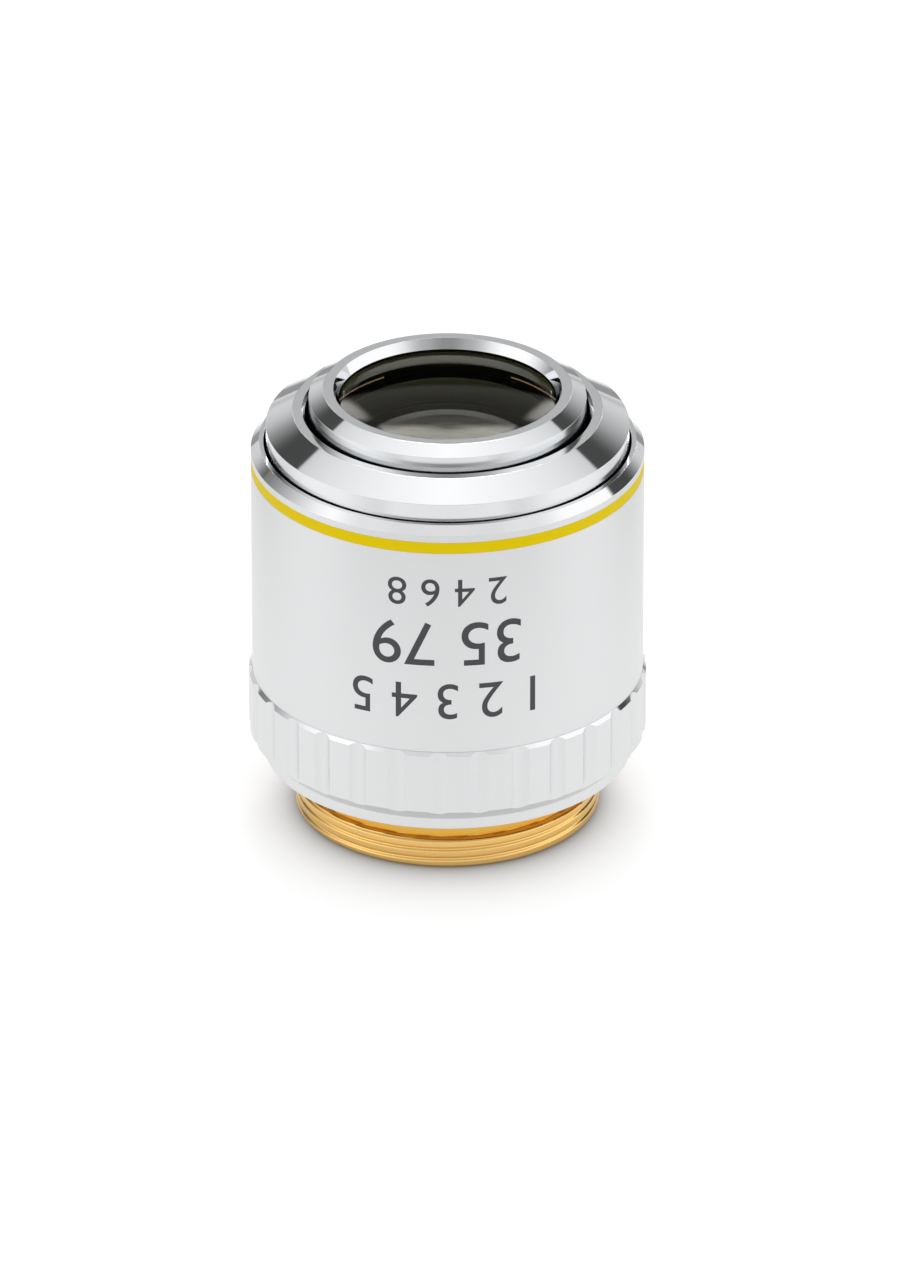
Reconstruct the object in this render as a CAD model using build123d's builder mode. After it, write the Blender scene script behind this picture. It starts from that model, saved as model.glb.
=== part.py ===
from build123d import *
import os
from math import sqrt

# Microscope objective of the 10x class, corrected for infinity, with a long working distance.
# Millimetres. Z is the optical axis: the thread's end face lies at z = 0 and the nose points up.

# Fits
fit = 0.04                     # radial clearance of a piece that screws or slides into another
edge_break = 0.06              # small chamfer on the turned outer edges

# Screw thread, its neck and the flange that stays inside the grip ring
thread_r = 10.16               # standard objective thread, 20.32 mm over the crests
thread_length = 2.40
thread_chamfer = 0.25
neck_depth = 0.51              # the neck lies this much below the crests
neck_length = 1.72
thread_wall = 2.36             # from the crests to the bore that the light leaves through
cup_floor = 0.80               # brass below the lens tube
cup_depth = 1.60               # how deep the lens tube sits in the flange
shim_thickness = 0.30          # sets the parfocal length

# Grip ring
grip_floor = 1.70              # thickness of the seat that bears on the nosepiece
seat_clearance = 0.15          # the seat's face starts this far outside the thread's crests
shoulder_height = 0.78
under_chamfer = 0.95
land_length = 4.13
grip_step = 0.22               # the lands stand this much proud of the barrel
grip_top_chamfer = 0.25
groove_count = 30
groove_width = 1.24
groove_depth = 0.21
groove_phase = 3.3             # degrees from +X to the first groove

# Lens tube and the walls round it, from the glass outwards
front_lens_r = 8.10
front_cell_wall = 1.02
tube_wall = 1.20
tube_ledge = 0.80              # ledge at the tube's rear end that carries the stack of cells
ledge_width = 1.40
liner_wall = 1.06              # wall of every piece between the lens tube and the outer shells
sleeve_flange = 0.50           # the front sleeve clamps the barrel with this ledge
sleeve_gap = 0.15              # dark gap between the front sleeve and the barrel's mouth
barrel_lip_wall = 0.85
locating_ring_length = 4.00

# Barrel and its colour band
barrel_chamfer = 0.54
sleeve_recess = 2.50           # depth of the barrel's mouth
band_drop = 1.03               # from the barrel's front edge to the band
band_width = 0.78
band_depth = 0.12

# Front sleeve
sleeve_stand = 2.30            # height above the barrel
sleeve_bevel_width = 1.77
sleeve_bevel_height = 1.06
sleeve_lip = 2.06              # thickness of the lip over the lens tube's end
sleeve_skirt = 3.70
tube_end_gap = 0.10

# Nose
nose_stand = 1.49              # height above the front sleeve
nose_gap = 0.25                # dark gap between the nose and the front sleeve's mouth
nose_bevel_width = 0.95
nose_bevel_height = 0.56
mouth_bevel = 0.20
lens_seat_width = 0.75         # the nose's lip overlaps the front lens by this much
lens_recess = 0.16             # the front lens stays this far below the nose's flat

# Parts that every lens group shares
cell_lip = 0.55
lip_width = 0.70
retainer_wall = 0.60
retainer_height = 0.70
cell_margin = 0.15             # a ring sits this far inside its cell's face
slot_width = 0.80
slot_depth = 0.35
rim_flat = 0.40                # flat rim round a hollow glass surface
rim_bevel = 0.10               # bevel round a bulging glass surface
cement = 0.02
crown_edge = 0.75              # thickness of each crown at its rim

# Glass: a curve is a surface's radius, positive where the surface bulges towards the nose
front_lens_thickness = 3.90
front_lens_low_curve = 40.0
front_lens_high_curve = 35.0
front_air_gap = 0.32            # between the two front lenses, on the axis
second_lens_thickness = 2.70
second_lens_low_curve = 90.0
second_lens_high_curve = 30.0

third_lens_step = 0.70          # the beam narrows, so each group is smaller than the front lens
third_low_curve = 110.0
third_joint_curve = -38.0
third_high_curve = 44.0
third_flint_thickness = 1.00

fourth_lens_step = 1.70
fourth_low_curve = 60.0
fourth_joint_curve = -34.0
fourth_high_curve = 36.0
fourth_flint_thickness = 0.90

rear_lens_step = 2.10
rear_low_curve = 16.0
rear_joint_curve = -44.0
rear_high_curve = 22.0
rear_flint_thickness = 0.90

stop_thickness = 0.60
stop_inset = 0.70               # the stop is this much smaller than the rear lens
stack_spacer_height = 0.48
stack_spacer_wall = 1.60

# Centring screws in the lens tube
screw_count = 3
screw_r = 0.70
socket_r = 0.35
socket_depth = 0.60


def sag(curve, r):
    """Depth of a ground surface between its centre and radius r."""
    return abs(curve) - sqrt(curve**2 - r**2)


def surface_z(centre_z, curve, r):
    """Height at radius r of a surface whose centre lies at centre_z."""
    return centre_z - sag(curve, r) if curve > 0 else centre_z + sag(curve, r)


# Radii, from the glass outwards
cell_r = front_lens_r + fit + front_cell_wall
tube_bore_r = cell_r + fit
tube_r = tube_bore_r + tube_wall
liner_bore_r = tube_r + fit
liner_r = liner_bore_r + liner_wall
shell_bore_r = liner_r + fit
sleeve_r = liner_r + sleeve_flange
barrel_mouth_r = sleeve_r + sleeve_gap
barrel_r = barrel_mouth_r + barrel_lip_wall
grip_r = barrel_r + grip_step
shoulder_r = grip_r - under_chamfer
neck_r = thread_r - neck_depth
seat_inner_r = thread_r + seat_clearance
light_bore_r = thread_r - thread_wall
ledge_r = tube_bore_r - ledge_width
nose_mouth_r = cell_r + nose_gap
front_aperture_r = front_lens_r - lens_seat_width
third_lens_r = front_lens_r - third_lens_step
fourth_lens_r = front_lens_r - fourth_lens_step
rear_lens_r = front_lens_r - rear_lens_step
stop_r = rear_lens_r - stop_inset

# Heights, from the thread's end face up
seat_z = thread_length + neck_length
grip_top_z = seat_z + shoulder_height + under_chamfer + land_length + grip_top_chamfer
flange_z = seat_z + grip_floor
cup_z = flange_z + cup_floor
flange_top_z = cup_z + cup_depth
tube_z = cup_z + shim_thickness
rear_cell_z = tube_z + tube_ledge


def lens_section(lens_r, low_z, low_curve, high_z, high_curve):
    """Half section of one glass element, with a flat rim on each hollow side."""
    low_edge_r = lens_r - (rim_flat if low_curve > 0 else rim_bevel)
    high_edge_r = lens_r - (rim_flat if high_curve < 0 else rim_bevel)
    low_edge_z = surface_z(low_z, low_curve, low_edge_r)
    high_edge_z = surface_z(high_z, high_curve, high_edge_r)
    low_side_z = low_edge_z if low_curve > 0 else low_edge_z + rim_bevel
    high_side_z = high_edge_z if high_curve < 0 else high_edge_z - rim_bevel
    low_mid = (low_edge_r / 2, surface_z(low_z, low_curve, low_edge_r / 2))
    high_mid = (high_edge_r / 2, surface_z(high_z, high_curve, high_edge_r / 2))
    with BuildSketch(Plane.XZ) as section:
        with BuildLine():
            ThreePointArc((0, low_z), low_mid, (low_edge_r, low_edge_z))
            Polyline(
                (low_edge_r, low_edge_z),
                (lens_r, low_side_z),
                (lens_r, high_side_z),
                (high_edge_r, high_edge_z),
            )
            ThreePointArc((high_edge_r, high_edge_z), high_mid, (0, high_z))
            Line((0, high_z), (0, low_z))
        make_face()
    return section.sketch


def plain_ring(inner_r, outer_r, low_z, height):
    """Turned ring, such as a spacer or a shim."""
    with BuildPart() as ring:
        with BuildSketch(Plane.XY.offset(low_z)):
            Circle(outer_r)
            Circle(inner_r, mode=Mode.SUBTRACT)
        extrude(amount=height)
    return ring


def retaining_ring(lens_r, low_z, slots_z):
    """Screwed ring that holds a lens, with slots across one face for a pin spanner."""
    with BuildPart() as ring:
        with BuildSketch(Plane.XY.offset(low_z)):
            Circle(lens_r)
            Circle(lens_r - retainer_wall, mode=Mode.SUBTRACT)
        extrude(amount=retainer_height)
        with BuildSketch(Plane.XY.offset(slots_z)):
            Rectangle(2 * lens_r, slot_width)
        extrude(amount=slot_depth, mode=Mode.SUBTRACT)
    return ring


def cemented_group(cell_z, lens_r, curves, flint_thickness):
    """Cell, two cemented elements on its lip and their retainer; also gives the cell's top."""
    low_curve, joint_curve, high_curve = curves
    flint_z = cell_z + cell_lip + sag(low_curve, lens_r - rim_flat)
    joint_z = flint_z + flint_thickness
    crown_rim_r = lens_r - rim_bevel
    crown_rim = sag(joint_curve, crown_rim_r) + crown_edge + sag(high_curve, crown_rim_r)
    crown_top_z = joint_z + cement + crown_rim + 2 * rim_bevel
    ring_z = crown_top_z - sag(high_curve, lens_r - retainer_wall)
    height = ring_z + retainer_height + cell_margin - cell_z

    with BuildPart(Plane.XY.offset(cell_z)) as cell:
        Cylinder(cell_r, height, align=(Align.CENTER, Align.CENTER, Align.MIN))
        with Locations((0, 0, height)):
            CounterBoreHole(lens_r - lip_width, lens_r + fit, height - cell_lip)

    with BuildPart() as flint:
        revolve(lens_section(lens_r, flint_z, low_curve, joint_z, joint_curve), axis=Axis.Z)

    with BuildPart() as crown:
        crown_z = joint_z + cement
        revolve(lens_section(lens_r, crown_z, joint_curve, crown_top_z, high_curve), axis=Axis.Z)

    retainer = retaining_ring(lens_r, ring_z, ring_z + retainer_height - slot_depth)
    return cell, flint, crown, retainer, cell_z + height


# Rear group, aperture stop, fourth group, spacer and third group stand on each other
rear_cell, rear_flint, rear_crown, rear_retainer, stop_z = cemented_group(
    rear_cell_z,
    rear_lens_r,
    (rear_low_curve, rear_joint_curve, rear_high_curve),
    rear_flint_thickness,
)
aperture_stop = plain_ring(stop_r, cell_r, stop_z, stop_thickness)

fourth_cell_z = stop_z + stop_thickness
fourth_cell, fourth_flint, fourth_crown, fourth_retainer, stack_spacer_z = cemented_group(
    fourth_cell_z,
    fourth_lens_r,
    (fourth_low_curve, fourth_joint_curve, fourth_high_curve),
    fourth_flint_thickness,
)
stack_spacer = plain_ring(cell_r - stack_spacer_wall, cell_r, stack_spacer_z, stack_spacer_height)

third_cell_z = stack_spacer_z + stack_spacer_height
third_cell, third_flint, third_crown, third_retainer, front_cell_z = cemented_group(
    third_cell_z,
    third_lens_r,
    (third_low_curve, third_joint_curve, third_high_curve),
    third_flint_thickness,
)

# Front group: both lenses go into the nose from behind, with a spacer between them
contact_r = front_lens_r - retainer_wall
front_retainer_z = front_cell_z + cell_margin
second_rim_z = front_retainer_z + retainer_height
second_lens_z = second_rim_z + sag(second_lens_low_curve, front_lens_r - rim_flat)
second_top_z = second_lens_z + second_lens_thickness
front_lens_z = second_top_z + front_air_gap
front_spacer_z = surface_z(second_top_z, second_lens_high_curve, contact_r)
front_rim_z = surface_z(front_lens_z, front_lens_low_curve, front_lens_r - rim_flat)
front_top_z = front_lens_z + front_lens_thickness
nose_z = front_top_z + lens_recess
lens_seat_z = surface_z(front_top_z, front_lens_high_curve, front_aperture_r)

front_retainer = retaining_ring(front_lens_r, front_retainer_z, front_retainer_z)
front_spacer = plain_ring(contact_r, front_lens_r, front_spacer_z, front_rim_z - front_spacer_z)

with BuildPart() as second_lens:
    second_faces = (second_lens_z, second_lens_low_curve, second_top_z, second_lens_high_curve)
    revolve(lens_section(front_lens_r, *second_faces), axis=Axis.Z)

with BuildPart() as front_lens:
    front_faces = (front_lens_z, front_lens_low_curve, front_top_z, front_lens_high_curve)
    revolve(lens_section(front_lens_r, *front_faces), axis=Axis.Z)

# Heights of the shells, from the nose down
sleeve_z = nose_z - nose_stand
sleeve_lip_z = sleeve_z - sleeve_lip
tube_top_z = sleeve_lip_z - tube_end_gap
barrel_z = sleeve_z - sleeve_stand
ledge_z = barrel_z - sleeve_recess
band_z = barrel_z - band_drop - band_width

with BuildPart() as front_cell:
    with BuildSketch(Plane.XZ):
        with BuildLine():
            Polyline(
                (front_lens_r + fit, front_cell_z),
                (cell_r, front_cell_z),
                (cell_r, nose_z - nose_bevel_height),
                (cell_r - nose_bevel_width, nose_z),
                (front_aperture_r + mouth_bevel, nose_z),
                (front_aperture_r, nose_z - mouth_bevel),
                (front_aperture_r, lens_seat_z),
                (front_lens_r + fit, lens_seat_z),
                close=True,
            )
        make_face()
    revolve(axis=Axis.Z)

with BuildPart() as front_sleeve:
    with BuildSketch(Plane.XZ):
        with BuildLine():
            Polyline(
                (liner_bore_r, ledge_z - sleeve_skirt),
                (liner_r, ledge_z - sleeve_skirt),
                (liner_r, ledge_z),
                (sleeve_r, ledge_z),
                (sleeve_r, sleeve_z - sleeve_bevel_height),
                (sleeve_r - sleeve_bevel_width, sleeve_z),
                (nose_mouth_r + mouth_bevel, sleeve_z),
                (nose_mouth_r, sleeve_z - mouth_bevel),
                (nose_mouth_r, sleeve_lip_z),
                (liner_bore_r, sleeve_lip_z),
                close=True,
            )
        make_face()
    revolve(axis=Axis.Z)

with BuildPart() as barrel:
    with BuildSketch(Plane.XZ):
        with BuildLine():
            Polyline(
                (shell_bore_r, grip_top_z),
                (barrel_r - edge_break, grip_top_z),
                (barrel_r, grip_top_z + edge_break),
                (barrel_r, band_z),
                (barrel_r - band_depth, band_z),
                (barrel_r - band_depth, band_z + band_width),
                (barrel_r, band_z + band_width),
                (barrel_r, barrel_z - barrel_chamfer),
                (barrel_r - barrel_chamfer, barrel_z),
                (barrel_mouth_r, barrel_z),
                (barrel_mouth_r, ledge_z),
                (shell_bore_r, ledge_z),
                close=True,
            )
        make_face()
    revolve(axis=Axis.Z)

colour_band = plain_ring(barrel_r - band_depth, barrel_r, band_z, band_width)

with BuildPart() as grip_ring:
    with BuildSketch(Plane.XZ):
        with BuildLine():
            Polyline(
                (seat_inner_r, seat_z),
                (shoulder_r - edge_break, seat_z),
                (shoulder_r, seat_z + edge_break),
                (shoulder_r, seat_z + shoulder_height),
                (grip_r, seat_z + shoulder_height + under_chamfer),
                (grip_r, grip_top_z - grip_top_chamfer),
                (barrel_r, grip_top_z),
                (shell_bore_r, grip_top_z),
                (shell_bore_r, flange_z),
                (neck_r + fit, flange_z),
                (neck_r + fit, seat_z + seat_inner_r - neck_r - fit),
                close=True,
            )
        make_face()
    revolve(axis=Axis.Z)
    half_width = groove_width / 2
    land_sag = sag(grip_r, half_width)
    cut_depth = groove_depth - land_sag
    cutter_r = (half_width**2 + cut_depth**2) / (2 * cut_depth)
    with BuildSketch(Plane.XY.offset(seat_z)):
        with PolarLocations(grip_r - groove_depth + cutter_r, groove_count, start_angle=groove_phase):
            Circle(cutter_r)
    extrude(amount=grip_top_z - seat_z, mode=Mode.SUBTRACT)

with BuildPart() as thread_mount:
    with BuildSketch(Plane.XZ):
        with BuildLine():
            Polyline(
                (light_bore_r + thread_chamfer, 0),
                (thread_r - thread_chamfer, 0),
                (thread_r, thread_chamfer),
                (thread_r, thread_length),
                (neck_r, thread_length),
                (neck_r, flange_z),
                (liner_r, flange_z),
                (liner_r, flange_top_z),
                (liner_bore_r, flange_top_z),
                (liner_bore_r, cup_z),
                (light_bore_r, cup_z),
                (light_bore_r, thread_chamfer),
                close=True,
            )
        make_face()
    revolve(axis=Axis.Z)

parfocal_shim = plain_ring(ledge_r, tube_r, cup_z, shim_thickness)
locating_ring = plain_ring(liner_bore_r, liner_r, flange_top_z, locating_ring_length)

screw_z = (fourth_cell_z + stack_spacer_z) / 2

with BuildPart() as inner_tube:
    with BuildSketch(Plane.XZ):
        with BuildLine():
            Polyline(
                (ledge_r, tube_z),
                (tube_r, tube_z),
                (tube_r, tube_top_z),
                (tube_bore_r, tube_top_z),
                (tube_bore_r, rear_cell_z),
                (ledge_r, rear_cell_z),
                close=True,
            )
        make_face()
    revolve(axis=Axis.Z)
    with PolarLocations(0, screw_count):
        with Locations(Location((tube_r, 0, screw_z), (0, 90, 0))):
            Hole(screw_r + fit, depth=2 * tube_wall)

with BuildPart() as centring_screws:
    with PolarLocations(0, screw_count):
        with Locations(Location((tube_bore_r, 0, screw_z), (0, 90, 0))):
            Cylinder(screw_r, tube_wall, align=(Align.CENTER, Align.CENTER, Align.MIN))
        with Locations(Location((tube_r - socket_depth, 0, screw_z), (0, 90, 0))):
            Cylinder(
                socket_r,
                socket_depth,
                align=(Align.CENTER, Align.CENTER, Align.MIN),
                mode=Mode.SUBTRACT,
            )

pieces = {
    "thread_mount": thread_mount,
    "grip_ring": grip_ring,
    "barrel": barrel,
    "colour_band": colour_band,
    "front_sleeve": front_sleeve,
    "front_cell": front_cell,
    "front_lens": front_lens,
    "front_spacer": front_spacer,
    "second_lens": second_lens,
    "front_retainer": front_retainer,
    "third_cell": third_cell,
    "third_flint": third_flint,
    "third_crown": third_crown,
    "third_retainer": third_retainer,
    "stack_spacer": stack_spacer,
    "fourth_cell": fourth_cell,
    "fourth_flint": fourth_flint,
    "fourth_crown": fourth_crown,
    "fourth_retainer": fourth_retainer,
    "aperture_stop": aperture_stop,
    "rear_cell": rear_cell,
    "rear_flint": rear_flint,
    "rear_crown": rear_crown,
    "rear_retainer": rear_retainer,
    "inner_tube": inner_tube,
    "centring_screws": centring_screws,
    "parfocal_shim": parfocal_shim,
    "locating_ring": locating_ring,
}

os.makedirs("parts", exist_ok=True)
for name, piece in pieces.items():
    piece.part.label = name
    export_step(piece.part, f"parts/{name}.step")

print(f"height {nose_z:.3f}, barrel top {barrel_z:.3f}, front cell {front_cell_z:.3f}, grip top {grip_top_z:.3f}")
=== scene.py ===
import math

import bmesh
import bpy
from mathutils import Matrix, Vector


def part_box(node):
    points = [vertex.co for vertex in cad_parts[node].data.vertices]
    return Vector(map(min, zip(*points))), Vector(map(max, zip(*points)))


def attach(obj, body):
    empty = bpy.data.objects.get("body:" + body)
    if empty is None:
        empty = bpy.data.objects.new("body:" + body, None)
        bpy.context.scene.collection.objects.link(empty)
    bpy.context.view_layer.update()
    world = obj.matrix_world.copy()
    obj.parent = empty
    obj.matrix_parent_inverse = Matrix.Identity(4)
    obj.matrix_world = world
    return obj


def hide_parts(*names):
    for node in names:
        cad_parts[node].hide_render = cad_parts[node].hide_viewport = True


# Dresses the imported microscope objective: polished and satin shells, brass screw thread, glass,
# enamel band and numerals, on a white floor in a white studio. Metres; Z is the optical axis.

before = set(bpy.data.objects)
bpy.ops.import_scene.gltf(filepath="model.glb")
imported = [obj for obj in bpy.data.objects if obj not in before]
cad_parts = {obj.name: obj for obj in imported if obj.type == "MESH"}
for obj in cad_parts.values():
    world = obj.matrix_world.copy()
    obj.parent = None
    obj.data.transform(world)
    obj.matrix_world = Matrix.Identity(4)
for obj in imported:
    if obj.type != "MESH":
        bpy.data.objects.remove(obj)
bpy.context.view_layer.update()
MM = 0.001

# Camera of the photograph, found from the ellipses of the turned edges
IMAGE_HEIGHT_PX = 1280
FOCAL_PX = 13700
SENSOR_MM = 36
CAMERA_DISTANCE = 911 * MM
CAMERA_ELEVATION = math.radians(27.5)
CAMERA_TARGET = Vector((0.26 * MM, 0, 11.8 * MM))
CAMERA_CLIP = 10 * MM

# Meshes: segments of a turn, radii of rounded edges, play between pieces, welding distances, and
# the cosine and angle past which a corner counts as straight
SEGMENTS = 288
LENS_SEGMENTS = 256
EDGE = 0.04 * MM
BARREL_EDGE = 0.03 * MM
BAND_EDGE = 0.02 * MM
KEEN_EDGE = 0.005 * MM
PLAY = 0.04 * MM
WELD = 0.0005 * MM
SLIVER = 0.0002 * MM
STRAIGHT = -0.9999
NO_TURN = 1e-6

# Nose: bevel as width and height, mouth's radius at the flat and at the lip, and how far inside
# its wall the lip's black, which is painted shade, starts
NOSE_BEVEL = (0.95 * MM, 0.56 * MM)
NOSE_MOUTH_R = (7.53 * MM, 7.10 * MM)
NOSE_LIP_DEPTH = 0.93 * MM
NOSE_LIP_RISE = 0.08 * MM
NOSE_LIP_FOOT = 0.17 * MM
NOSE_INNER = 0.5 * MM

# Collar and the liner below it
SLEEVE_BEVEL = (1.77 * MM, 1.06 * MM)
SLEEVE_SEAT = 0.20 * MM
SLEEVE_GAP = 0.25 * MM
SLEEVE_MOUTH_DEPTH = 2.06 * MM
LINER_WALL = 1.06 * MM

# Barrel and its colour band; the gap between barrel and collar has painted shade below its bright depth
BARREL_BEVEL = 0.54 * MM
BARREL_LIP_WALL = 0.85 * MM
SHELL_WALL = 1.46 * MM
MOUTH_DEPTH = 2.50 * MM
BRIGHT_DEPTH = 0.1 * MM
BAND_DEPTH = 0.12 * MM
BAND_SINK = 0.005 * MM

# Grip ring
GRIP_STEP = 0.22 * MM
GRIP_TOP_CHAMFER = 0.25 * MM
GRIP_SHARP = math.radians(22)
UNDER_CHAMFER = 0.95 * MM
SHOULDER_HEIGHT = 0.78 * MM
FLANGE_HEIGHT = 1.70 * MM
GROOVE_COUNT = 30
GROOVE_WIDTH = 1.24 * MM
GROOVE_DEPTH = 0.21 * MM
GROOVE_PHASE = math.radians(3.3)
COLUMNS_IN_GROOVE = 14
COLUMNS_ON_LAND = 6
SEAT_RELIEF = (10.31 * MM, 9.69 * MM)

# Thread mount; a share is a part of one turn
THREAD_R = 10.16 * MM
THREAD_PITCH = 25.4 / 36 * MM
THREAD_DEPTH = 0.15 * MM
THREAD_LENGTH = 2.40 * MM
THREAD_RUNOUT = (2.08 * MM, 2.18 * MM)
THREAD_PHASE = 0.23
THREAD_SHARP = math.radians(30)
CREST_SHARE = 0.22
THREAD_CHAMFER = 0.25 * MM
THREAD_COLUMNS = 240
ROWS_PER_TURN = 24
NECK_R = 9.65 * MM
LIGHT_BORE_R = 7.80 * MM
CUP_HEIGHT = 0.80 * MM

# Numerals: name, digits, height of the digits, height of the row's middle
NUMERAL_ROWS = (
    ("numerals_small", "2 4 6 8", 2.0 * MM, 22.0 * MM),
    ("numerals_large", "35 79", 3.2 * MM, 18.2 * MM),
    ("numerals_middle", "1 2 3 4 5", 2.6 * MM, 14.0 * MM),
)
INK_DEPTH = 0.008 * MM
INK_SLICE = 0.3 * MM
HALF_EXTRUDE = 0.5

# Front lens: radii of its lower and upper surface, depths where its rim's finish changes, and how far aside
# its painted glint starts
LENS_CURVES = (40 * MM, 35 * MM)
LENS_THICKNESS = 3.90 * MM
LENS_INSET = 0.02 * MM
LENS_STEPS = 48
RIM_SPLIT_DEPTHS = (4.45 * MM, 3.85 * MM)
RIM_GLINT_ASIDE = 3.9 * MM

# How far from its nominal line a face's middle may lie to get that line's finish
WALL_MARGIN = 0.01 * MM
EDGE_MARGIN = 0.02 * MM
RIM_MARGIN = 0.04 * MM
STEP_MARGIN = 0.1 * MM
NECK_MARGIN = 0.15 * MM


def corner(node, axis, high=True):
    """One coordinate of a CAD node's box."""
    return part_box(node)[1 if high else 0][axis]


# Heights and radii from the CAD nodes
NOSE_Z = corner("front_cell", 2)
NOSE_LOW_Z = corner("front_cell", 2, high=False)
CELL_R = corner("front_cell", 0)
LENS_Z = corner("front_lens", 2)
LENS_R = corner("front_lens", 0)
SLEEVE_Z = corner("front_sleeve", 2)
SKIRT_Z = corner("front_sleeve", 2, high=False)
SLEEVE_R = corner("front_sleeve", 0)
BARREL_Z = corner("barrel", 2)
BARREL_R = corner("barrel", 0)
BAND_Z = corner("colour_band", 2)
BAND_LOW_Z = corner("colour_band", 2, high=False)
GRIP_TOP_Z = corner("grip_ring", 2)
GRIP_R = corner("grip_ring", 1)
SEAT_Z = corner("grip_ring", 2, high=False)
MOUNT_Z = corner("thread_mount", 2)
LIP_Z = NOSE_Z - NOSE_LIP_DEPTH + NOSE_LIP_RISE
LEDGE_Z = BARREL_Z - MOUTH_DEPTH
FLANGE_Z = SEAT_Z + FLANGE_HEIGHT
SHELL_BORE_R = BARREL_R - SHELL_WALL
LINER_BORE_R = corner("inner_tube", 0) + PLAY
LINER_R = LINER_BORE_R + LINER_WALL


# Shapes

def rounded(corners, usual_radius=EDGE, steps=4):
    """Rounds a closed half section's corners; gives points with the outline's normal at each.

    A corner's third value is a radius of its own.
    """
    points = []
    count = len(corners)
    for index, (across, height, *own_radius) in enumerate(corners):
        radius = own_radius[0] if own_radius else usual_radius
        here = Vector((across, height))
        before = (Vector(corners[index - 1][:2]) - here).normalized()
        after = (Vector(corners[(index + 1) % count][:2]) - here).normalized()
        if before.dot(after) < STRAIGHT:
            points.append((here, Vector((after.y, -after.x))))
            continue
        half_angle = before.angle(after) / 2
        reach = radius / math.tan(half_angle)
        start = here + before * reach
        end = here + after * reach
        centre = here + (before + after).normalized() * (radius / math.sin(half_angle))
        side = 1 if before.x * after.y - before.y * after.x < 0 else -1
        first = (start - centre).normalized()
        last = (end - centre).normalized()
        for step in range(steps + 1):
            turned = first.slerp(last, step / steps) if first.angle(last) > NO_TURN else first
            points.append((centre + turned * radius, turned * side))
    return points


def ring_faces(columns, rows):
    """Faces of a closed ring whose points come column by column."""
    faces = []
    for column in range(columns):
        ahead = (column + 1) % columns
        for row in range(rows):
            above = (row + 1) % rows
            faces.append(
                (column * rows + row, ahead * rows + row, ahead * rows + above, column * rows + above)
            )
    return faces


def add_mesh(name, verts, faces, normals=None):
    mesh = bpy.data.meshes.new(name)
    mesh.from_pydata(verts, [], faces)
    mesh.shade_smooth()
    if normals:
        mesh.normals_split_custom_set_from_vertices(normals)
    piece = bpy.data.objects.new(name, mesh)
    bpy.context.scene.collection.objects.link(piece)
    return piece


def lathe(name, outline, segments=SEGMENTS):
    """Turns a closed half section about Z. The outline has (point, normal) pairs."""
    verts = []
    normals = []
    for index in range(segments):
        angle = 2 * math.pi * index / segments
        cosine = math.cos(angle)
        sine = math.sin(angle)
        for point, normal in outline:
            verts.append((point.x * cosine, point.x * sine, point.y))
            normals.append((normal.x * cosine, normal.x * sine, normal.y))
    return add_mesh(name, verts, ring_faces(segments, len(outline)), normals)


def stand_for(piece, node, slot_name, *materials):
    """The piece takes a CAD node's place and its materials; slot_name is not used."""
    for material in materials:
        piece.data.materials.append(material)
    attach(piece, "root")
    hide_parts(node)


def paint(piece, material, chosen):
    """Gives one of the piece's materials to the faces whose middles are chosen."""
    index = piece.data.materials.find(material.name)
    for face in piece.data.polygons:
        if chosen(face.center):
            face.material_index = index


# Materials

def principled(name, **values):
    """Node material with one shader; keys are socket names with underscores for spaces."""
    material = bpy.data.materials.new(name)
    material.use_nodes = True
    shader = material.node_tree.nodes["Principled BSDF"]
    for key, value in values.items():
        shader.inputs[key.replace("_", " ")].default_value = value
    return material


def srgb(red, green, blue):
    """Linear colour from screen values of 0 to 255."""
    def linear(value):
        value /= 255
        return value / 12.92 if value <= 0.04045 else ((value + 0.055) / 1.055) ** 2.4
    return (linear(red), linear(green), linear(blue), 1)


GRAIN_DETAIL = 3
GRAIN_HEIGHT = 0.01 * MM
TURNED_ROUND = (0.15, 0.15, 6)


def add_grain(material, scale, strength, stretch=(1, 1, 1), spread=0.0):
    """Fine bump in object space, and a matching spread of the roughness."""
    tree = material.node_tree
    nodes, links = tree.nodes, tree.links
    shader = nodes["Principled BSDF"]
    place = nodes.new("ShaderNodeTexCoord")
    mapping = nodes.new("ShaderNodeMapping")
    mapping.inputs["Scale"].default_value = stretch
    noise = nodes.new("ShaderNodeTexNoise")
    noise.inputs["Scale"].default_value = scale
    noise.inputs["Detail"].default_value = GRAIN_DETAIL
    bump = nodes.new("ShaderNodeBump")
    bump.inputs["Strength"].default_value = strength
    bump.inputs["Distance"].default_value = GRAIN_HEIGHT
    links.new(place.outputs["Object"], mapping.inputs["Vector"])
    links.new(mapping.outputs["Vector"], noise.inputs["Vector"])
    links.new(noise.outputs["Fac"], bump.inputs["Height"])
    links.new(bump.outputs["Normal"], shader.inputs["Normal"])
    if spread:
        rough = nodes.new("ShaderNodeMapRange")
        base = shader.inputs["Roughness"].default_value
        rough.inputs["To Min"].default_value = base - spread
        rough.inputs["To Max"].default_value = base + spread
        links.new(noise.outputs["Fac"], rough.inputs["Value"])
        links.new(rough.outputs["Result"], shader.inputs["Roughness"])


def metal(name, colour, roughness):
    return principled(name, Base_Color=(*colour, 1), Metallic=1.0, Roughness=roughness)


def coated_glass(name, body, index, shine):
    """Clear glass; an index below that of bare glass stands for its anti-reflection coating."""
    return principled(
        name, Base_Color=body, Roughness=0.0, IOR=index, Transmission_Weight=1.0, Specular_Tint=shine
    )


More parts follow.
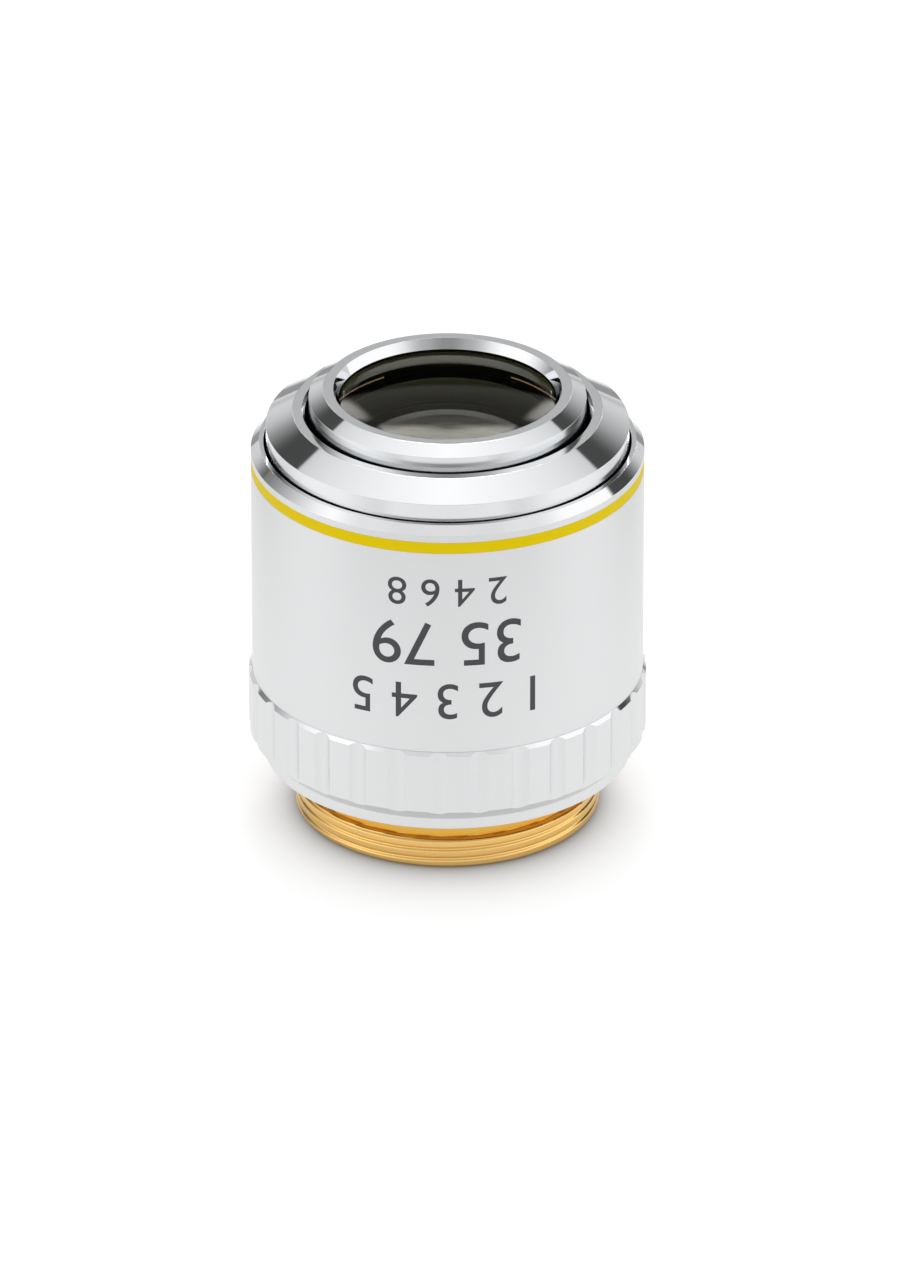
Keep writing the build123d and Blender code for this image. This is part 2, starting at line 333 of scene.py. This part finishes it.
polished = metal("polished_chrome", (0.795, 0.805, 0.815), 0.05)
add_grain(polished, 1500, 0.02, spread=0.01)
turned_chrome = metal("turned_chrome", (0.75, 0.76, 0.77), 0.17)
add_grain(turned_chrome, 1500, 0.02, spread=0.01)
satin = metal("satin_chrome", (0.71, 0.715, 0.72), 0.38)
add_grain(satin, 9000, 0.25, spread=0.03)
brass = metal("turned_brass", (0.90, 0.575, 0.19), 0.18)
add_grain(brass, 2500, 0.12, stretch=TURNED_ROUND, spread=0.05)
# Painted shade: the relief neck's brass is darker and deeper amber than the thread's, standing for the shade
# and brass-to-brass reflections in that recess.
neck_brass = metal("neck_painted_shade_brass", (0.80, 0.46, 0.08), 0.25)
add_grain(neck_brass, 2500, 0.12, stretch=TURNED_ROUND, spread=0.05)
enamel = principled("yellow_enamel", Base_Color=srgb(224, 198, 0), Roughness=0.45, Specular_IOR_Level=0.06)
add_grain(enamel, 4000, 0.05)
black = principled(
    "black_anodised", Base_Color=(0.004, 0.004, 0.003, 1), Roughness=0.7, Specular_IOR_Level=0.0
)
add_grain(black, 6000, 0.05)
front_glass = coated_glass("front_glass", (0.98, 0.98, 0.93, 1), 1.20, (1.0, 0.94, 0.6, 1))
inner_glass = coated_glass("inner_glass", (0.96, 0.95, 0.86, 1), 1.10, (1.0, 0.92, 0.45, 1))
ground_rim = principled("ground_rim", Base_Color=(0.15, 0.142, 0.065, 1), Roughness=0.5)
add_grain(ground_rim, 6000, 0.2)
# Painted highlight: orange on the lower rim at both sides stands for the glinting arcs of the rim's edge.
painted_rim_glint = principled("painted_rim_glint", Base_Color=(1.0, 0.66, 0.34, 1), Roughness=0.5)
add_grain(painted_rim_glint, 6000, 0.1)
# Painted shade: near-black metal for the walls inside the gaps between nose, collar and barrel, where shade
# falls.
gap_shade = metal("painted_gap_shade", (0.05, 0.05, 0.052), 0.35)
add_grain(gap_shade, 3000, 0.2)
ink = principled("dark_grey_ink", Base_Color=srgb(58, 60, 64), Roughness=0.6)
add_grain(ink, 6000, 0.1)


# Pieces

def make_nose():
    """Polished nose round the front lens; its mouth flares upwards from a lip painted black as shade, and
    its wall inside the collar has painted shade.
    """
    flare = (NOSE_MOUTH_R[0] - NOSE_MOUTH_R[1]) / (NOSE_Z - LIP_Z)
    foot_z = LIP_Z + NOSE_LIP_FOOT
    wall_z = NOSE_Z - NOSE_BEVEL[1]
    seat_z = SLEEVE_Z - SLEEVE_SEAT
    nose = lathe(
        "nose_shell",
        rounded([
            (LENS_R + PLAY, NOSE_LOW_Z),
            (CELL_R, NOSE_LOW_Z),
            (CELL_R, seat_z),
            (CELL_R, wall_z),
            (CELL_R - NOSE_BEVEL[0], NOSE_Z),
            (NOSE_MOUTH_R[0], NOSE_Z, KEEN_EDGE),
            (NOSE_MOUTH_R[1] + NOSE_LIP_FOOT * flare, foot_z),
            (NOSE_MOUTH_R[1], LIP_Z),
            (LENS_R + PLAY, NOSE_Z - NOSE_LIP_DEPTH),
        ]),
    )
    stand_for(nose, "front_cell", "polished_plate", polished, gap_shade, black, turned_chrome)
    paint(nose, turned_chrome, lambda spot: spot.xy.length > CELL_R - WALL_MARGIN and spot.z < wall_z)
    # Painted shade: the wall below the collar's seat, inside the gap, is near-black.
    paint(nose, gap_shade, lambda spot: spot.z < seat_z)
    # Painted shade: the foot of the mouth, at the lip, is black for the shadowed line between nose and lens.
    paint(nose, black, lambda spot: spot.xy.length < CELL_R - NOSE_INNER and spot.z < foot_z)


def make_collar():
    """Polished collar round the nose, with the liner that holds the lens tube."""
    mouth_r = CELL_R + SLEEVE_GAP
    mouth_z = SLEEVE_Z - SLEEVE_MOUTH_DEPTH
    wall_z = SLEEVE_Z - SLEEVE_BEVEL[1]
    shade_z = BARREL_Z - BRIGHT_DEPTH
    collar = lathe(
        "collar_shell",
        rounded([
            (LINER_BORE_R, SKIRT_Z),
            (LINER_R, SKIRT_Z),
            (LINER_R, LEDGE_Z),
            (SLEEVE_R, LEDGE_Z),
            (SLEEVE_R, shade_z),
            (SLEEVE_R, wall_z),
            (SLEEVE_R - SLEEVE_BEVEL[0], SLEEVE_Z),
            (mouth_r + SLEEVE_SEAT, SLEEVE_Z, KEEN_EDGE),
            (mouth_r, SLEEVE_Z - SLEEVE_SEAT),
            (mouth_r, mouth_z),
            (LINER_BORE_R, mouth_z),
        ]),
    )
    stand_for(collar, "front_sleeve", "polished_plate", polished, gap_shade, turned_chrome)
    paint(collar, turned_chrome, lambda spot: spot.xy.length > SLEEVE_R - WALL_MARGIN and spot.z < wall_z)
    # Painted shade: the mouth wall round the nose and the wall below the bright depth are near-black, as
    # shade in the gaps.
    paint(collar, gap_shade, lambda spot: spot.xy.length < mouth_r + EDGE_MARGIN or spot.z < shade_z)


def make_barrel():
    """Satin barrel with its polished front bevel and the groove for the colour band."""
    mouth_r = BARREL_R - BARREL_LIP_WALL
    groove_r = BARREL_R - BAND_DEPTH
    bevel_z = BARREL_Z - BARREL_BEVEL
    shade_z = BARREL_Z - BRIGHT_DEPTH
    barrel = lathe(
        "barrel_shell",
        rounded([
            (SHELL_BORE_R, GRIP_TOP_Z),
            (BARREL_R, GRIP_TOP_Z),
            (BARREL_R, BAND_LOW_Z),
            (groove_r, BAND_LOW_Z),
            (groove_r, BAND_Z),
            (BARREL_R, BAND_Z),
            (BARREL_R, bevel_z),
            (BARREL_R - BARREL_BEVEL, BARREL_Z),
            (mouth_r, BARREL_Z),
            (mouth_r, LEDGE_Z),
            (SHELL_BORE_R, LEDGE_Z),
        ], BARREL_EDGE),
    )
    stand_for(barrel, "barrel", "satin_plate", satin, polished, gap_shade)
    paint(barrel, polished, lambda spot: spot.z > bevel_z - EDGE_MARGIN)
    # Painted shade: the mouth wall below the bright depth is near-black, as shade in the gap round the
    # collar.
    paint(barrel, gap_shade, lambda spot: spot.xy.length < mouth_r + EDGE_MARGIN and spot.z < shade_z)


def make_band():
    """Enamel ring in the barrel's groove, a hair below its surface."""
    band = lathe(
        "enamel_band",
        rounded([
            (BARREL_R - BAND_DEPTH, BAND_LOW_Z),
            (BARREL_R - BAND_SINK, BAND_LOW_Z),
            (BARREL_R - BAND_SINK, BAND_Z),
            (BARREL_R - BAND_DEPTH, BAND_Z),
        ], BAND_EDGE),
    )
    stand_for(band, "colour_band", "band_enamel", enamel)


def grip_angles():
    """Angles of the grip ring's columns, close together in the grooves, with their edges hit."""
    half_angle = math.asin(GROOVE_WIDTH / 2 / GRIP_R)
    pitch = 2 * math.pi / GROOVE_COUNT
    land = pitch - 2 * half_angle
    for groove in range(GROOVE_COUNT):
        centre = GROOVE_PHASE + groove * pitch
        for step in range(COLUMNS_IN_GROOVE):
            yield centre, -half_angle + 2 * half_angle * step / COLUMNS_IN_GROOVE
        for step in range(COLUMNS_ON_LAND):
            yield centre, half_angle + land * step / COLUMNS_ON_LAND


def grip_radius(offset):
    """Outer radius at an angle from a groove's centre."""
    half_width = GROOVE_WIDTH / 2
    cut_depth = GROOVE_DEPTH - (GRIP_R - math.sqrt(GRIP_R**2 - half_width**2))
    cutter_r = (half_width**2 + cut_depth**2) / (2 * cut_depth)
    cutter_place = GRIP_R - GROOVE_DEPTH + cutter_r
    inside = cutter_r**2 - (cutter_place * math.sin(offset))**2
    if inside <= 0 or abs(offset) > math.asin(half_width / GRIP_R):
        return GRIP_R
    return min(GRIP_R, cutter_place * math.cos(offset) - math.sqrt(inside))


def grip_column(outer_r):
    """Half section of the grip ring where its outside is at outer_r."""
    under_z = SEAT_Z + SHOULDER_HEIGHT
    shoulder_r = GRIP_R - UNDER_CHAMFER
    chamfer_slope = GRIP_TOP_CHAMFER / GRIP_STEP
    top_r = min(BARREL_R, outer_r)
    return [
        (SEAT_RELIEF[0], SEAT_Z),
        (shoulder_r - EDGE, SEAT_Z),
        (shoulder_r, SEAT_Z + EDGE),
        (shoulder_r, under_z),
        (outer_r, under_z + outer_r - shoulder_r),
        (outer_r, GRIP_TOP_Z - max(0, outer_r - BARREL_R) * chamfer_slope),
        (top_r, GRIP_TOP_Z),
        (SHELL_BORE_R, GRIP_TOP_Z),
        (SHELL_BORE_R, FLANGE_Z),
        (SEAT_RELIEF[1], FLANGE_Z),
        (SEAT_RELIEF[1], SEAT_Z + SEAT_RELIEF[0] - SEAT_RELIEF[1]),
    ]


def make_grip():
    """Satin grip ring with its upright grooves and a polished chamfer at the top."""
    verts = []
    for centre, offset in grip_angles():
        angle = centre + offset
        for radius, height in grip_column(grip_radius(offset)):
            verts.append((radius * math.cos(angle), radius * math.sin(angle), height))
    rows = len(grip_column(GRIP_R))
    grip = add_mesh("grip_shell", verts, ring_faces(len(verts) // rows, rows))
    shape = bmesh.new()
    shape.from_mesh(grip.data)
    bmesh.ops.remove_doubles(shape, verts=shape.verts, dist=WELD)
    bmesh.ops.recalc_face_normals(shape, faces=shape.faces)
    shape.to_mesh(grip.data)
    shape.free()
    grip.data.set_sharp_from_angle(angle=GRIP_SHARP)
    chamfer_z = GRIP_TOP_Z - GRIP_TOP_CHAMFER
    stand_for(grip, "grip_ring", "satin_plate", satin, polished)
    paint(grip, polished, lambda spot: spot.z > chamfer_z and spot.xy.length > BARREL_R - STEP_MARGIN)


def smooth(value):
    """Smooth step between 0 and 1."""
    value = min(max(value, 0), 1)
    return value * value * (3 - 2 * value)


def thread_radius(height, share):
    """Radius of the thread at a height and a share of one turn; it runs out into the neck."""
    turn = height / THREAD_PITCH - share + THREAD_PHASE
    from_crest = abs(turn - round(turn))
    threaded = THREAD_R - THREAD_DEPTH * smooth((from_crest - CREST_SHARE) / (0.5 - CREST_SHARE))
    low, high = THREAD_RUNOUT
    return threaded + (NECK_R - threaded) * smooth((height - low) / (high - low))


def mount_points(rows):
    """Points of the mount, column by column: the thread's rows, then neck, flange, cup and bore."""
    cup_z = FLANGE_Z + CUP_HEIGHT
    inside = [
        (NECK_R, THREAD_LENGTH),
        (NECK_R, FLANGE_Z),
        (LINER_R, FLANGE_Z),
        (LINER_R, MOUNT_Z),
        (LINER_BORE_R, MOUNT_Z),
        (LINER_BORE_R, cup_z),
        (LIGHT_BORE_R, cup_z),
        (LIGHT_BORE_R, THREAD_CHAMFER),
        (LIGHT_BORE_R + THREAD_CHAMFER, 0),
    ]
    verts = []
    for column in range(THREAD_COLUMNS):
        share = column / THREAD_COLUMNS
        angle = 2 * math.pi * share
        points = []
        for row in range(rows + 1):
            height = THREAD_PITCH * (share + row / ROWS_PER_TURN - 1)
            height = min(max(height, 0), THREAD_LENGTH)
            lead_in = THREAD_R - THREAD_CHAMFER + height
            points.append((min(thread_radius(height, share), lead_in), height))
        for radius, height in points + inside:
            verts.append((radius * math.cos(angle), radius * math.sin(angle), height))
    return verts


def mount_faces(rows, per_column):
    """Faces of the mount. The last column joins the first one turn of the helix higher."""
    faces = []
    for column in range(THREAD_COLUMNS):
        last = column == THREAD_COLUMNS - 1
        ahead = (column + 1) % THREAD_COLUMNS
        for row in range(per_column):
            above = (row + 1) % per_column
            right, right_above = row, above
            if last and row <= rows:
                right = min(row + ROWS_PER_TURN, rows)
            if last and 0 < above <= rows:
                right_above = min(above + ROWS_PER_TURN, rows)
            faces.append((
                column * per_column + row,
                ahead * per_column + right,
                ahead * per_column + right_above,
                column * per_column + above,
            ))
    return faces


def make_mount():
    """Brass mount with its helical thread, relief neck and flange."""
    rows = (math.ceil(THREAD_LENGTH / THREAD_PITCH) + 2) * ROWS_PER_TURN
    verts = mount_points(rows)
    shape = bmesh.new()
    made = [shape.verts.new(vert) for vert in verts]
    for face in mount_faces(rows, len(verts) // THREAD_COLUMNS):
        corners = list(dict.fromkeys(face))
        if len(corners) > 2:
            try:
                shape.faces.new([made[index] for index in corners])
            except ValueError:
                continue
    bmesh.ops.remove_doubles(shape, verts=shape.verts, dist=WELD)
    bmesh.ops.dissolve_degenerate(shape, edges=shape.edges, dist=SLIVER)
    loose = [vert for vert in shape.verts if not vert.link_faces]
    bmesh.ops.delete(shape, geom=loose, context="VERTS")
    bmesh.ops.recalc_face_normals(shape, faces=shape.faces)
    mount = add_mesh("thread_shell", [], [])
    shape.to_mesh(mount.data)
    shape.free()
    mount.data.shade_smooth()
    mount.data.set_sharp_from_angle(angle=THREAD_SHARP)
    stand_for(mount, "thread_mount", "thread_brass", brass, neck_brass)
    # Painted shade: the relief neck gets the darker brass.
    paint(
        mount, neck_brass,
        lambda spot: spot.xy.length < NECK_R + NECK_MARGIN and spot.z > THREAD_RUNOUT[0]
    )


def numerals(name, body, height, centre_z):
    """Printed row of digits wrapped round the barrel at the front, which reads with the thread up."""
    curve = bpy.data.curves.new(name, "FONT")
    curve.body = body
    curve.align_x = "CENTER"
    curve.extrude = HALF_EXTRUDE
    written = bpy.data.objects.new(name, curve)
    bpy.context.scene.collection.objects.link(written)
    graph = bpy.context.evaluated_depsgraph_get()
    shape = bmesh.new()
    shape.from_mesh(written.evaluated_get(graph).to_mesh())
    bpy.data.objects.remove(written)
    low = min(vert.co.y for vert in shape.verts)
    tall = max(vert.co.y for vert in shape.verts) - low
    scale = height / tall
    width = max(abs(vert.co.x) for vert in shape.verts)
    place = -width
    while place < width:
        everything = shape.verts[:] + shape.edges[:] + shape.faces[:]
        bmesh.ops.bisect_plane(shape, geom=everything, plane_co=(place, 0, 0), plane_no=(1, 0, 0))
        place += INK_SLICE / scale
    for vert in shape.verts:
        angle = -vert.co.x * scale / BARREL_R
        radius = BARREL_R + INK_DEPTH * vert.co.z / HALF_EXTRUDE
        upward = centre_z - (vert.co.y - low - tall / 2) * scale
        vert.co = (radius * math.sin(angle), -radius * math.cos(angle), upward)
    mesh = bpy.data.meshes.new(name)
    shape.to_mesh(mesh)
    shape.free()
    mesh.materials.append(ink)
    piece = bpy.data.objects.new(name, mesh)
    bpy.context.scene.collection.objects.link(piece)
    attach(piece, "root")


def lens_outline(low_z, low_curve, high_z, high_curve, lens_r, rim_splits):
    """Half section of one element, its rim split at some heights; a positive curve bulges up."""
    def surface(centre_z, curve, radius, up):
        reach = math.sqrt(curve**2 - radius**2)
        height = centre_z - math.copysign(abs(curve) - reach, curve)
        normal = Vector((math.copysign(radius / reach, curve), 1)).normalized()
        return Vector((radius, height)), normal * up

    outward = Vector((1, 0))
    radii = [lens_r * step / LENS_STEPS for step in range(LENS_STEPS + 1)]
    low = [surface(low_z, low_curve, radius, -1) for radius in radii]
    high = [surface(high_z, high_curve, radius, 1) for radius in reversed(radii)]
    rim = [low[-1][0], *(Vector((lens_r, split_z)) for split_z in rim_splits), high[0][0]]
    return low + [(point.copy(), outward) for point in rim] + high


def make_front_lens():
    """Front lens: the rim is ground above and black below, with a painted orange glint at both sides."""
    low_split, high_split = (LENS_Z - depth for depth in RIM_SPLIT_DEPTHS)
    front_lens = lathe(
        "front_lens_shell",
        lens_outline(
            LENS_Z - LENS_THICKNESS, LENS_CURVES[0], LENS_Z, LENS_CURVES[1],
            LENS_R - LENS_INSET, (low_split, high_split),
        ),
        LENS_SEGMENTS,
    )

    def on_rim(spot):
        return spot.xy.length > LENS_R - RIM_MARGIN

    stand_for(front_lens, "front_lens", "optical_glass", front_glass, ground_rim, black, painted_rim_glint)
    paint(front_lens, ground_rim, on_rim)
    paint(front_lens, black, lambda spot: on_rim(spot) and spot.z < high_split)
    # Painted highlight: the lower rim at both sides, away from the middle, gets the orange glint.
    paint(
        front_lens, painted_rim_glint,
        lambda spot: on_rim(spot) and spot.z < low_split and abs(spot.x) > RIM_GLINT_ASIDE
    )


make_nose()
make_collar()
make_barrel()
make_band()
make_grip()
make_mount()
for numeral_row in NUMERAL_ROWS:
    numerals(*numeral_row)
make_front_lens()


# Finishes of the solids that stay
black_nodes = [
    "front_spacer", "front_retainer", "third_cell", "third_retainer", "stack_spacer", "fourth_cell",
    "fourth_retainer", "aperture_stop", "rear_cell", "rear_retainer", "inner_tube", "locating_ring",
    "parfocal_shim", "centring_screws",
]
glass_nodes = [
    "second_lens", "third_flint", "third_crown", "fourth_flint", "fourth_crown",
    "rear_flint", "rear_crown",
]
finishes = dict.fromkeys(black_nodes, black)
finishes |= dict.fromkeys(glass_nodes, inner_glass)
for name, material in finishes.items():
    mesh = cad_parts[name].data
    mesh.materials.clear()
    mesh.materials.append(material)


# Floor, studio and camera

class Maths:
    """Writes sums of light as nodes."""

    def __init__(self, tree):
        self.tree = tree

    def put(self, socket, value):
        """Sets a socket to a number, or links it to another socket."""
        if isinstance(value, (int, float)):
            socket.default_value = value
        else:
            self.tree.links.new(value, socket)

    def do(self, operation, *values):
        node = self.tree.nodes.new("ShaderNodeMath")
        node.operation = operation
        for socket, value in zip(node.inputs, values):
            self.put(socket, value)
        return node.outputs[0]

    def product(self, first, *others):
        for other in others:
            first = self.do("MULTIPLY", first, other)
        return first

    def less(self, value):
        """What is left of 1."""
        return self.do("SUBTRACT", 1, value)

    def step(self, value, low, high):
        """0 below low, 1 above high, smooth between."""
        node = self.tree.nodes.new("ShaderNodeMapRange")
        node.interpolation_type = "SMOOTHSTEP"
        self.put(node.inputs["Value"], value)
        self.put(node.inputs["From Min"], low)
        self.put(node.inputs["From Max"], high)
        return node.outputs["Result"]

    def fall(self, value, low, high):
        """1 below low, 0 above high, smooth between."""
        return self.less(self.step(value, low, high))

    def band(self, value, start, full, fade, end):
        """1 between full and fade, 0 before start and past end."""
        return self.product(self.step(value, start, full), self.fall(value, fade, end))

    def mix(self, low, high, share):
        """low where share is 0, high where it is 1."""
        rise = self.do("SUBTRACT", high, low)
        return self.do("MULTIPLY_ADD", rise, share, low)


def coordinates(tree, kind):
    """The three sockets of a texture coordinate."""
    place = tree.nodes.new("ShaderNodeTexCoord")
    split = tree.nodes.new("ShaderNodeSeparateXYZ")
    tree.links.new(place.outputs[kind], split.inputs[0])
    return split.outputs


# Floor: strengths of its glow, the distances over which one fades into the next, and its painted contact
# shadow
FLOOR_SIZE = 4
GLOW_NEAR = 0.87
GLOW_UNDER_LAMP = 0.81
GLOW_SIDEWAYS = 0.89
GLOW_BESIDE = 0.55
GLOW_FAR = 0.08
UNDER_LAMP_FADE = (26 * MM, 40 * MM)
SIDEWAYS_FADE = (30 * MM, 34 * MM)
SIDEWAYS_FORWARD_FADE = (-4 * MM, 4 * MM)
AHEAD_FADE = (63.5 * MM, 86 * MM)
AHEAD_ASIDE_FADE = (31 * MM, 44 * MM)
AHEAD_CONE = (0.35, 0.95)
BEHIND_ASIDE_FADE = (34 * MM, 60 * MM)
BEHIND_FADE = (0, 40 * MM)
FAR_FADE = (140 * MM, 300 * MM)
SHADOW_START = 10 * MM
SHADOW_REACH = 2.1 * MM
SHADOW_NARROWING = 1.6
SHADOW_POWER = 0.8
SHADOW_STRENGTH = 0.85


def painted_contact_shadow(maths, distance, in_front):
    """Painted contact shadow in the floor's glow: 1 under the thread, less and less beyond it, and soonest
    behind.
    """
    past_thread = maths.do("MAXIMUM", maths.do("SUBTRACT", distance, SHADOW_START), 0)
    narrowing = maths.mix(1.0, SHADOW_NARROWING, maths.less(maths.do("MAXIMUM", in_front, 0)))
    reach = maths.do("DIVIDE", maths.product(past_thread, narrowing), SHADOW_REACH)
    return maths.do("EXPONENT", maths.product(maths.do("POWER", reach, SHADOW_POWER), -1))


def floor_glow(maths, x, y):
    """White in the picture's field, dimmer beside it and far away, and with painted shade at the thread."""
    distance = maths.do("SQRT", maths.do("ADD", maths.product(x, x), maths.product(y, y)))
    forward = maths.product(y, -1)
    in_front = maths.do("DIVIDE", forward, distance)
    aside = maths.do("ABSOLUTE", x)

    under_lamp = maths.step(forward, *UNDER_LAMP_FADE)
    sideways = maths.product(
        maths.step(aside, *SIDEWAYS_FADE), maths.step(forward, *SIDEWAYS_FORWARD_FADE)
    )
    past_field = maths.do(
        "MAXIMUM", maths.step(forward, *AHEAD_FADE), maths.step(aside, *AHEAD_ASIDE_FADE)
    )
    ahead = maths.product(past_field, maths.step(in_front, *AHEAD_CONE))
    behind = maths.product(maths.step(aside, *BEHIND_ASIDE_FADE), maths.step(y, *BEHIND_FADE))

    # Painted light: the glow is higher near the object than under the lamp farther ahead, filling the
    # object's shadow from the lamp behind.
    glow = maths.mix(maths.mix(GLOW_NEAR, GLOW_UNDER_LAMP, under_lamp), GLOW_SIDEWAYS, sideways)
    glow = maths.mix(glow, GLOW_BESIDE, maths.do("MAXIMUM", ahead, behind))
    glow = maths.mix(glow, GLOW_FAR, maths.step(distance, *FAR_FADE))
    shadow = painted_contact_shadow(maths, distance, in_front)
    return maths.product(glow, maths.do("MULTIPLY_ADD", shadow, -SHADOW_STRENGTH, 1))


def make_floor():
    """White light table."""
    material = principled(
        "lit_floor", Base_Color=(0.20, 0.20, 0.20, 1), Roughness=0.7, Specular_IOR_Level=0.1,
        Emission_Color=(1, 1, 1, 1),
    )
    tree = material.node_tree
    x, y, _ = coordinates(tree, "Object")
    strength = tree.nodes["Principled BSDF"].inputs["Emission Strength"]
    tree.links.new(floor_glow(Maths(tree), x, y), strength)

    bpy.ops.mesh.primitive_plane_add(size=FLOOR_SIZE)
    floor = bpy.context.object
    floor.name = "floor"
    floor.data.materials.append(material)


# Studio: strengths of light. Fades are in degrees: of azimuth from straight behind the object,
# of azimuth from straight in front where the name says so, and of elevation from level.
WALL = 0.07
BACK_WALL = 0.52
BACK_WALL_EDGES = (24, 27)
BACK_WALL_FADE = (0, 15)
LEFT_TO_RIGHT = (-1, 1)
HORIZON = 0.70
HORIZON_FADE = (6, 20)
LEFT_CARD = (0.20, 1.20)
LEFT_CARD_RISE = (45, 100)
LEFT_CARD_EDGE = (48, 50)
RIGHT_CARD = 1.15
RIGHT_CARD_EDGE = (63, 66)
FRONT_WALL = 1.15
FRONT_WALL_FADE = (115, 145)
PATCH = (0.31, 0.48, 0.85)
PATCH_CORE_FROM_FRONT = (3, 26)
PATCH_FADE_FROM_FRONT = (22, 50)
PATCH_HEIGHT = (12, 20, 34, 39)
SOFTBOX = (0.66, 1.16)
SOFTBOX_EDGE = (40.3, 41.7)
SOFTBOX_START = 41
SOFTBOX_POWER = 0.6
SOFTBOX_FRONT_SHARE = 0.87
SIDE_CARD_TOP = (44, 54)
SIDE_CARD_LEFT = (60, 80)
FRONT_WALL_TOP = (46, 52)
ROOM_SHARE = 1.06
LAMP = 13
LAMP_ASIDE = (10.4, 11)
LAMP_LOW_EDGE = 44
LAMP_LOW_SLOPE = -0.35
LAMP_LOW_FADE = (-2.5, 1.5)
LAMP_TOP = (56, 61)
SIDE_LAMP = 7
SIDE_LAMP_ASIDE = (10.3, 12, 13.5, 15)
SIDE_LAMP_HEIGHT = (22, 27, 33, 37)
GAP = (0.2, 0.01)
GAP_ASIDE = (13, 20)
GAP_HEIGHT = (0.5, 3, 22.5, 25)
GAP_DEEPER = (9, 13)


class Studio(Maths):
    """The studio's light by direction, in degrees."""

    def __init__(self, tree):
        super().__init__(tree)
        x, y, z = coordinates(tree, "Generated")
        self.azimuth = self.do("DEGREES", self.do("ARCTAN2", x, y))
        self.elevation = self.do("DEGREES", self.do("ARCSINE", z))
        self.aside = self.do("ABSOLUTE", self.azimuth)
        self.leftward = self.product(self.azimuth, -1)
        self.right = self.step(self.azimuth, *RIGHT_CARD_EDGE)
        self.front = self.step(self.aside, *FRONT_WALL_FADE)

    def walls(self):
        """Dim walls, with a brighter one behind and a light horizon."""
        edge = self.mix(*BACK_WALL_EDGES, self.step(self.azimuth, *LEFT_TO_RIGHT))
        behind = self.fall(self.do("SUBTRACT", self.aside, edge), *BACK_WALL_FADE)
        return self.mix(self.mix(WALL, BACK_WALL, behind), HORIZON, self.fall(self.elevation, *HORIZON_FADE))

    def side_cards(self, light):
        """White cards at both sides."""
        left_card = self.mix(*LEFT_CARD, self.step(self.leftward, *LEFT_CARD_RISE))
        light = self.mix(light, left_card, self.step(self.leftward, *LEFT_CARD_EDGE))
        return self.mix(light, RIGHT_CARD, self.right)

    def front_wall(self, light):
        """White wall in front, with a darker patch where the camera stands."""
        core, middle, outer = PATCH
        from_front = self.do("SUBTRACT", 180, self.aside)
        patch = self.mix(middle, outer, self.step(from_front, *PATCH_FADE_FROM_FRONT))
        patch = self.mix(core, patch, self.step(from_front, *PATCH_CORE_FROM_FRONT))
        wall = self.mix(FRONT_WALL, patch, self.band(self.elevation, *PATCH_HEIGHT))
        return self.mix(light, wall, self.front)

    def softbox(self, light):
        """Broad softbox overhead, brightest at the top; side cards and front wall reach over its edge."""
        low, high = SOFTBOX
        height = self.do("DIVIDE", self.do("SUBTRACT", self.elevation, SOFTBOX_START), 90 - SOFTBOX_START)
        rise = self.do("POWER", self.do("MAXIMUM", height, 0), SOFTBOX_POWER)
        top = self.do("MULTIPLY_ADD", rise, high - low, low)
        top = self.mix(top, self.product(top, SOFTBOX_FRONT_SHARE), self.front)
        beside = self.do("MAXIMUM", self.step(self.leftward, *SIDE_CARD_LEFT), self.right)
        cards = self.do(
            "MAXIMUM",
            self.product(self.fall(self.elevation, *SIDE_CARD_TOP), beside),
            self.product(self.front, self.fall(self.elevation, *FRONT_WALL_TOP)),
        )
        return self.mix(light, top, self.product(self.step(self.elevation, *SOFTBOX_EDGE), self.less(cards)))

    def lamps(self, light):
        """One broad lamp behind, whose lower edge slopes, and two small ones beside it."""
        low_edge = self.do("MULTIPLY_ADD", self.aside, LAMP_LOW_SLOPE, LAMP_LOW_EDGE)
        above_edge = self.do("SUBTRACT", self.elevation, low_edge)
        lamp = self.product(
            self.step(above_edge, *LAMP_LOW_FADE),
            self.fall(self.aside, *LAMP_ASIDE),
            self.fall(self.elevation, *LAMP_TOP),
        )
        side_lamp = self.product(
            self.band(self.aside, *SIDE_LAMP_ASIDE), self.band(self.elevation, *SIDE_LAMP_HEIGHT)
        )
        return self.mix(self.mix(light, SIDE_LAMP, side_lamp), LAMP, lamp)

    def gap(self, light):
        """Dark gap behind, below the lamps."""
        dark = self.mix(*GAP, self.step(self.elevation, *GAP_DEEPER))
        share = self.product(self.fall(self.aside, *GAP_ASIDE), self.band(self.elevation, *GAP_HEIGHT))
        return self.mix(light, dark, share)


def make_studio():
    """White room with cards at the sides, a softbox overhead, and lamps and a dark gap behind."""
    world = bpy.data.worlds.new("studio")
    bpy.context.scene.world = world
    world.use_nodes = True
    studio = Studio(world.node_tree)
    light = studio.walls()
    light = studio.side_cards(light)
    light = studio.front_wall(light)
    light = studio.softbox(light)
    light = studio.lamps(studio.product(light, ROOM_SHARE))
    light = studio.gap(light)
    background = world.node_tree.nodes["Background"]
    background.inputs["Color"].default_value = (1, 1, 1, 1)
    studio.put(background.inputs["Strength"], light)


def make_camera():
    camera_data = bpy.data.cameras.new("camera")
    camera_data.sensor_width = SENSOR_MM
    camera_data.lens = FOCAL_PX / IMAGE_HEIGHT_PX * SENSOR_MM
    camera_data.clip_start = CAMERA_CLIP
    camera = bpy.data.objects.new("camera", camera_data)
    camera.location = CAMERA_TARGET + CAMERA_DISTANCE * Vector(
        (0, -math.cos(CAMERA_ELEVATION), math.sin(CAMERA_ELEVATION))
    )
    camera.rotation_euler = (math.pi / 2 - CAMERA_ELEVATION, 0, 0)
    bpy.context.scene.collection.objects.link(camera)
    bpy.context.scene.camera = camera


make_floor()
make_studio()
make_camera()
bpy.context.scene.view_settings.view_transform = "Standard"
